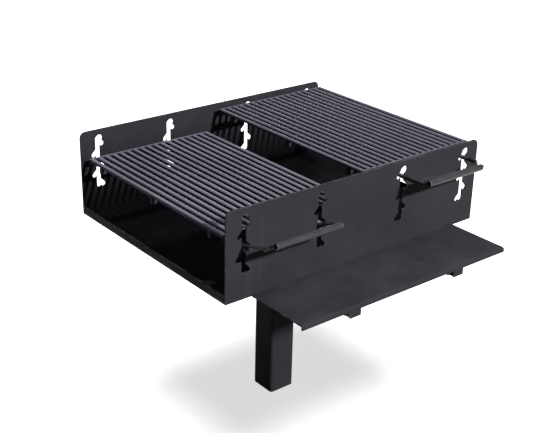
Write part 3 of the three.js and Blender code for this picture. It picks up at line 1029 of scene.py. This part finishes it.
class GRILL_OT_handles(bpy.types.Operator):
    """The bent handles, welded to the rods' front ends, and the grips round them."""

    bl_idname = "grill.handles"
    bl_label = "Handles"

    def execute(self, context):
        sizes = context.scene.grill_sizes
        for side in SIDES:
            low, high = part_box(side + "_handle")
            rods = sorted(
                (middle_of(side + "_" + place + "_lift_rod") for place in ("outer", "inner")),
                key=lambda centre: centre.x,
            )
            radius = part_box(side + "_outer_lift_rod")[1].z - rods[0].z
            out_y = low.y + radius
            out_z = middle_of(side + "_grip").z
            corners = []
            for rod in rods:
                leg = [
                    Vector((rod.x, high.y, rod.z)),
                    Vector((rod.x, high.y - sizes.handle_straight, rod.z)),
                    Vector((rod.x, out_y, out_z)),
                ]
                corners += leg if not corners else leg[::-1]
            bar = self.bent_bar(corners, radius, sizes)
            pattern = ripple_pattern()
            rings = []
            for rod in rods:
                joint = Vector((rod.x, high.y, rod.z))
                rings += ring_weld(pattern, joint, radius, HANDLE_RIPPLES, HANDLE_WELD_SHARE)
            drop(pattern)
            bar = join([bar] + rings)
            bar.name = side + "_bent_handle"
            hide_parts(side + "_handle")
            dress(bar, side + "_grate_set", "handle_steel", WELD_SMOOTH)
            low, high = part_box(side + "_grip")
            centre = (low + high) / 2
            grip = sleeve(
                Vector((low.x, centre.y, centre.z)),
                Vector((high.x, centre.y, centre.z)),
                radius + BORE_GAP,
                (high.z - low.z) / 2,
                GRIP_SIDES,
                GRIP_EASE,
            )
            grip.name = side + "_grip_sleeve"
            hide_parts(side + "_grip")
            dress(grip, side + "_grate_set", "grip_steel")
        return {"FINISHED"}

    def bent_bar(self, corners, radius, sizes):
        """A round bar through the corners, each turned into an arc, made from a curve."""
        points = [corners[0]]
        for before, corner, after in zip(corners, corners[1:], corners[2:]):
            back = (before - corner).normalized()
            on = (after - corner).normalized()
            turn = math.pi - back.angle(on)
            bend = sizes.handle_bend / math.tan(turn / 2)
            centre = corner + (back + on).normalized() * math.hypot(bend, sizes.handle_bend)
            start = corner + back * sizes.handle_bend - centre
            axis = on.cross(back).normalized()
            for step in range(sizes.bend_steps + 1):
                angle = turn * step / sizes.bend_steps
                points.append(centre + Matrix.Rotation(-angle, 3, axis) @ start)
        points.append(corners[-1])
        bpy.ops.object.select_all(action="DESELECT")
        bpy.ops.curve.primitive_nurbs_path_add()
        path = bpy.context.active_object
        path.data.splines.clear()
        spline = path.data.splines.new("POLY")
        spline.points.add(len(points) - 1)
        for point, place in zip(spline.points, points):
            point.co = (*place, 1)
        path.location = (0, 0, 0)
        path.data.bevel_depth = radius
        path.data.bevel_resolution = 4
        path.data.use_fill_caps = True
        choose(path)
        bpy.ops.object.convert(target="MESH")
        bar = settle(bpy.context.active_object)
        bpy.ops.object.mode_set(mode="EDIT")
        bpy.ops.mesh.select_all(action="SELECT")
        bpy.ops.mesh.remove_doubles(threshold=MERGE_DISTANCE)
        bpy.ops.mesh.normals_make_consistent(inside=False)
        bpy.ops.object.mode_set(mode="OBJECT")
        return bar


class GRILL_OT_stage(bpy.types.Operator):
    """Floor, soft studio lamps, even world light and the camera."""

    bl_idname = "grill.stage"
    bl_label = "Studio"

    def execute(self, context):
        stage = context.scene.grill_stage
        context.scene.view_settings.view_transform = "Standard"
        floor = self.floor(stage)
        self.world(stage)
        self.camera()
        floor_only = self.linked("Floor alone", [floor], "INCLUDE")
        not_floor = self.linked("All but the floor", [floor], "EXCLUDE")
        dressed = [thing for thing in bpy.data.objects if thing.name not in frame["nodes"]]
        shelf = [thing for thing in dressed if "shelf" in thing.name]
        lamps = (
            ("Key lamp", KEY_LAMP, stage.key_level),
            ("Top lamp", TOP_LAMP, stage.top_level),
            ("Back lamp", BACK_LAMP, stage.back_level),
        )
        for name, (direction, distance, size), level in lamps:
            lamp = self.lamp(name, direction.normalized(), distance, size, level)
            lamp.light_linking.receiver_collection = not_floor
        sun_links = self.floor_sun(stage).light_linking
        sun_links.receiver_collection = floor_only
        sun_links.blocker_collection = self.linked("All but the shelf", shelf, "EXCLUDE")
        return {"FINISHED"}

    def linked(self, name, things, state):
        """A collection that says what a lamp reaches, or what shades its light."""
        collection = bpy.data.collections.new(name)
        for thing in things:
            collection.objects.link(thing)
        for member in collection.collection_objects:
            member.light_linking.link_state = state
        return collection

    def lamp(self, name, direction, distance, size, level):
        """A square soft lamp. At level 1 a face turned to it shows its own colour."""
        place = STAGE_CENTRE + direction * distance
        bpy.ops.object.light_add(type="AREA", location=place)
        lamp = bpy.context.active_object
        lamp.name = name
        lamp.rotation_euler = direction.to_track_quat("Z", "Y").to_euler()
        lamp.data.shape = "SQUARE"
        lamp.data.size = size
        lamp.data.energy = level * (math.pi * distance) ** 2
        return lamp

    def floor_sun(self, stage):
        """A wide light from above that keeps the floor white around a soft shadow."""
        bpy.ops.object.light_add(type="SUN", location=Z_AXIS * 5)
        sun = bpy.context.active_object
        sun.name = "Floor sun"
        sun.rotation_euler = FLOOR_SUN.to_track_quat("Z", "Y").to_euler()
        sun.data.angle = stage.floor_spread
        sun.data.energy = stage.floor_level * math.pi
        return sun

    def floor(self, stage):
        bpy.ops.object.select_all(action="DESELECT")
        bpy.ops.mesh.primitive_plane_add(size=FLOOR_SIZE)
        floor = bpy.context.active_object
        floor.name = "studio_floor"
        material, tree, shader = new_material("Studio floor")
        tree.nodes.remove(shader)
        seen = self.seen_directly(tree)
        plain = put(tree, "ShaderNodeBsdfDiffuse", {"Color": (*stage.floor_colour, 1.0)})
        dim = put(tree, "ShaderNodeBsdfDiffuse", {"Color": FLOOR_BOUNCE})
        glow = put(tree, "ShaderNodeEmission", {"Strength": stage.floor_glow})
        both = put(tree, "ShaderNodeAddShader")
        tree.links.new(plain.outputs["BSDF"], both.inputs[0])
        tree.links.new(glow.outputs["Emission"], both.inputs[1])
        mixed = put(tree, "ShaderNodeMixShader", {0: seen})
        tree.links.new(dim.outputs["BSDF"], mixed.inputs[1])
        tree.links.new(both.outputs["Shader"], mixed.inputs[2])
        tree.links.new(mixed.outputs["Shader"], tree.nodes["Material Output"].inputs["Surface"])
        floor.data.materials.append(material)
        return floor

    def seen_directly(self, tree):
        """1 for what the camera sees, also in a reflection or through glass."""
        path = put(tree, "ShaderNodeLightPath")
        seen = plus(tree, path.outputs["Is Camera Ray"], path.outputs["Is Glossy Ray"])
        return plus(tree, seen, path.outputs["Is Transmission Ray"])

    def world(self, stage):
        world = bpy.data.worlds.new("Studio")
        bpy.context.scene.world = world
        world.use_nodes = True
        tree = world.node_tree
        background = tree.nodes["Background"]
        background.inputs["Color"].default_value = (1.0, 1.0, 1.0, 1.0)
        seen = self.seen_directly(tree)
        strength = between(tree, seen, 0.0, 1.0, stage.fill_level, 1.0)
        tree.links.new(strength, background.inputs["Strength"])

    def camera(self):
        azimuth, elevation, roll = (
            math.radians(angle) for angle in (CAMERA_AZIMUTH, CAMERA_ELEVATION, CAMERA_ROLL)
        )
        flat = math.cos(elevation)
        back = Vector((math.sin(azimuth) * flat, -math.cos(azimuth) * flat, math.sin(elevation)))
        level = Vector((math.cos(azimuth), math.sin(azimuth), 0))
        upright = back.cross(level)
        right = level * math.cos(roll) + upright * math.sin(roll)
        up = upright * math.cos(roll) - level * math.sin(roll)
        bpy.ops.object.camera_add()
        camera = bpy.context.active_object
        camera.name = "Studio camera"
        turn = Matrix((right, up, back)).transposed().to_4x4()
        camera.matrix_world = Matrix.Translation(CAMERA_TARGET + back * CAMERA_DISTANCE) @ turn
        camera.data.sensor_width = SENSOR_WIDTH
        camera.data.lens = FOCAL_PIXELS / FRAME_WIDTH * SENSOR_WIDTH
        bpy.context.scene.camera = camera


class GRILL_PT_panel(bpy.types.Panel):
    """Lists the steps that build the grill."""

    bl_idname = "GRILL_PT_panel"
    bl_label = "Park Grill"
    bl_space_type = "VIEW_3D"
    bl_region_type = "UI"
    bl_category = "Grill"

    def draw(self, context):
        for step in STEPS:
            self.layout.operator(step.bl_idname)
        for name in GROUPS:
            group = getattr(context.scene, name)
            box = self.layout.box()
            for value in group.bl_rna.properties.keys():
                if value not in ("rna_type", "name"):
                    box.prop(group, value)


STEPS = (
    GRILL_OT_firebox,
    GRILL_OT_post,
    GRILL_OT_shelf,
    GRILL_OT_fasteners,
    GRILL_OT_grates,
    GRILL_OT_rods,
    GRILL_OT_handles,
    GRILL_OT_stage,
)
GROUPS = {"grill_sizes": GrillSizes, "grill_finishes": GrillFinishes, "grill_stage": GrillStage}


def register():
    for group in GROUPS.values():
        bpy.utils.register_class(group)
    for step in (*STEPS, GRILL_PT_panel):
        bpy.utils.register_class(step)
    for name, group in GROUPS.items():
        setattr(bpy.types.Scene, name, bpy.props.PointerProperty(type=group))


def unregister():
    for name in GROUPS:
        delattr(bpy.types.Scene, name)
    for step in (GRILL_PT_panel, *reversed(STEPS)):
        bpy.utils.unregister_class(step)
    for group in reversed(list(GROUPS.values())):
        bpy.utils.unregister_class(group)


def main():
    register()
    bpy.ops.grill.firebox()
    bpy.ops.grill.post()
    bpy.ops.grill.shelf()
    bpy.ops.grill.fasteners()
    bpy.ops.grill.grates()
    bpy.ops.grill.rods()
    bpy.ops.grill.handles()
    bpy.ops.grill.stage()


if __name__ == "__main__":
    main()
